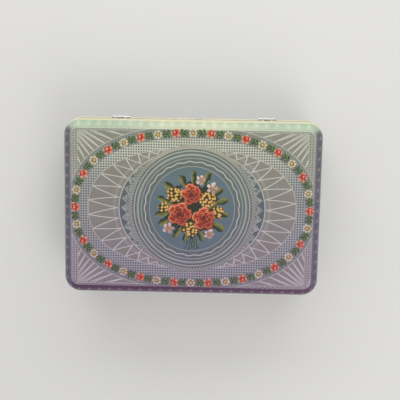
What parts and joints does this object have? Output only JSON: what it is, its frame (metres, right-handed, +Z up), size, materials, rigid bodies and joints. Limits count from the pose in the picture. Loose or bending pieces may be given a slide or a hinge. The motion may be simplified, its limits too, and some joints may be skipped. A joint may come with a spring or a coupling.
{
  "type": "hinged sewing tin",
  "caption": "Flat rectangular tinplate box for sewing things, with rounded corners and a curved-shoulder lid on two strap hinges at the back",
  "frame": {"origin": "middle of the box's footprint, on the surface that the closed tin lies on", "axes": "X runs left to right along the hinges, Y from the front to the hinged back, Z up through the lid's face"},
  "size_m": [0.254, 0.1758, 0.064],
  "materials": {
    "printed_tinplate": "glossy printed lacquer on tinplate, plain tinned steel inside",
    "plain_tinplate": "plain tinned steel, slightly dulled",
    "hinge_steel": "pressed tinned steel, worn bright",
    "wire_steel": "drawn steel wire"
  },
  "bodies": {
    "body": {"body_wall": "printed_tinplate", "bottom_panel": "plain_tinplate", "hinge_left_body_leaf": "hinge_steel", "hinge_right_body_leaf": "hinge_steel", "hinge_left_pin": "wire_steel", "hinge_right_pin": "wire_steel", "hinge_left_body_rivets": "wire_steel", "hinge_right_body_rivets": "wire_steel"},
    "lid": {"lid_shell": "printed_tinplate", "hinge_left_lid_leaf": "hinge_steel", "hinge_right_lid_leaf": "hinge_steel", "hinge_left_lid_rivets": "wire_steel", "hinge_right_lid_rivets": "wire_steel"}
  },
  "joints": [
    {"name": "lid_hinge", "type": "hinge", "parent": "body", "child": "lid", "pos_m": [0, 0.08715, 0.0429], "axis": [-1, 0, 0], "range_deg": [0, 180]}
  ]
}
